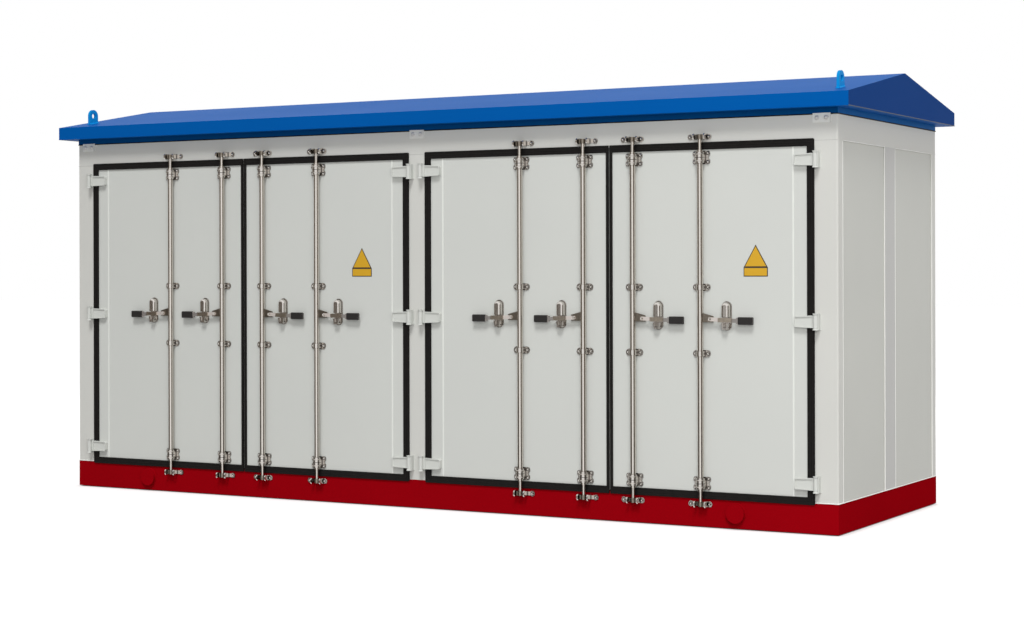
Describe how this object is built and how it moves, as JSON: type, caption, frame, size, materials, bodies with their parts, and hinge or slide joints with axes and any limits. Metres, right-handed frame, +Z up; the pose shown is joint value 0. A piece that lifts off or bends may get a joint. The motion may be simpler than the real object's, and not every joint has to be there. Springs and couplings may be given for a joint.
{
  "type": "compact substation enclosure",
  "caption": "Steel compact substation kiosk on a channel base, with hinged doors, container-type lock rods and a gabled roof with lifting eyes.",
  "frame": {"origin": "centre of the base frame's underside", "axes": "+X along the door front to its right, +Y from the door front to the back, +Z up"},
  "size_m": [5.596, 1.9, 2.583],
  "materials": {
    "red_base": "gloss enamel",
    "grey_enclosure": "powder coat",
    "door_paint": "powder coat",
    "blue_roof": "gloss enamel",
    "white_hinge": "brushed-on paint",
    "stainless": "polished",
    "black_rubber": "matt",
    "floor_steel": "primer"
  },
  "bodies": {
    "enclosure": {"base_side_beams": "red_base", "base_end_beams": "red_base", "base_cross_beams": "red_base", "lifting_bosses": "red_base", "floor_plate": "floor_steel", "corner_posts": "grey_enclosure", "centre_post": "grey_enclosure", "side_headers": "grey_enclosure", "end_headers": "grey_enclosure", "left_end_wall": "grey_enclosure", "right_end_wall": "grey_enclosure", "back_wall": "grey_enclosure", "roof_side_rails": "blue_roof", "roof_end_rails": "blue_roof", "ceiling_panel": "grey_enclosure", "roof_cover": "blue_roof", "lifting_lugs": "blue_roof", "roof_clips": "white_hinge", "hinge_butts": "white_hinge", "keepers": "stainless"},
    "door_1": {"door_1_leaf": "door_paint", "door_1_seal": "black_rubber", "door_1_hinge_straps": "white_hinge", "door_1_lock_fittings": "stainless"},
    "rod_1": {"lock_rod_1": "stainless", "handle_1": "stainless"},
    "rod_2": {"lock_rod_2": "stainless", "handle_2": "stainless"},
    "door_2": {"door_2_leaf": "door_paint", "door_2_seal": "black_rubber", "door_2_hinge_straps": "white_hinge", "door_2_lock_fittings": "stainless"},
    "rod_3": {"lock_rod_3": "stainless", "handle_3": "stainless"},
    "rod_4": {"lock_rod_4": "stainless", "handle_4": "stainless"},
    "door_3": {"door_3_leaf": "door_paint", "door_3_seal": "black_rubber", "door_3_hinge_straps": "white_hinge", "door_3_lock_fittings": "stainless"},
    "rod_5": {"lock_rod_5": "stainless", "handle_5": "stainless"},
    "rod_6": {"lock_rod_6": "stainless", "handle_6": "stainless"},
    "door_4": {"door_4_leaf": "door_paint", "door_4_seal": "black_rubber", "door_4_hinge_straps": "white_hinge", "door_4_lock_fittings": "stainless"},
    "rod_7": {"lock_rod_7": "stainless", "handle_7": "stainless"},
    "rod_8": {"lock_rod_8": "stainless", "handle_8": "stainless"}
  },
  "joints": [
    {"name": "door_1_hinge", "type": "hinge", "parent": "enclosure", "child": "door_1", "pos_m": [-2.585, -0.8945, 1.1625], "axis": [0, 0, 1], "range_deg": [-90, 0]},
    {"name": "rod_1_turn", "type": "hinge", "parent": "door_1", "child": "rod_1", "pos_m": [-1.8955, -0.8845, 1.1625], "axis": [0, 0, -1], "range_deg": [-90, 0]},
    {"name": "rod_2_turn", "type": "hinge", "parent": "door_1", "child": "rod_2", "pos_m": [-1.4735, -0.8845, 1.1625], "axis": [0, 0, -1], "range_deg": [-90, 0]},
    {"name": "door_2_hinge", "type": "hinge", "parent": "enclosure", "child": "door_2", "pos_m": [-0.042, -0.8945, 1.1625], "axis": [0, 0, 1], "range_deg": [0, 90]},
    {"name": "rod_3_turn", "type": "hinge", "parent": "door_2", "child": "rod_3", "pos_m": [-1.1535, -0.8845, 1.1625], "axis": [0, 0, -1], "range_deg": [0, 90]},
    {"name": "rod_4_turn", "type": "hinge", "parent": "door_2", "child": "rod_4", "pos_m": [-0.7315, -0.8845, 1.1625], "axis": [0, 0, -1], "range_deg": [0, 90]},
    {"name": "door_3_hinge", "type": "hinge", "parent": "enclosure", "child": "door_3", "pos_m": [0.042, -0.8945, 1.1625], "axis": [0, 0, 1], "range_deg": [-90, 0]},
    {"name": "rod_5_turn", "type": "hinge", "parent": "door_3", "child": "rod_5", "pos_m": [0.7315, -0.8845, 1.1625], "axis": [0, 0, -1], "range_deg": [-90, 0]},
    {"name": "rod_6_turn", "type": "hinge", "parent": "door_3", "child": "rod_6", "pos_m": [1.1535, -0.8845, 1.1625], "axis": [0, 0, -1], "range_deg": [-90, 0]},
    {"name": "door_4_hinge", "type": "hinge", "parent": "enclosure", "child": "door_4", "pos_m": [2.585, -0.8945, 1.1625], "axis": [0, 0, 1], "range_deg": [0, 90]},
    {"name": "rod_7_turn", "type": "hinge", "parent": "door_4", "child": "rod_7", "pos_m": [1.4735, -0.8845, 1.1625], "axis": [0, 0, -1], "range_deg": [0, 90]},
    {"name": "rod_8_turn", "type": "hinge", "parent": "door_4", "child": "rod_8", "pos_m": [1.8955, -0.8845, 1.1625], "axis": [0, 0, -1], "range_deg": [0, 90]}
  ]
}
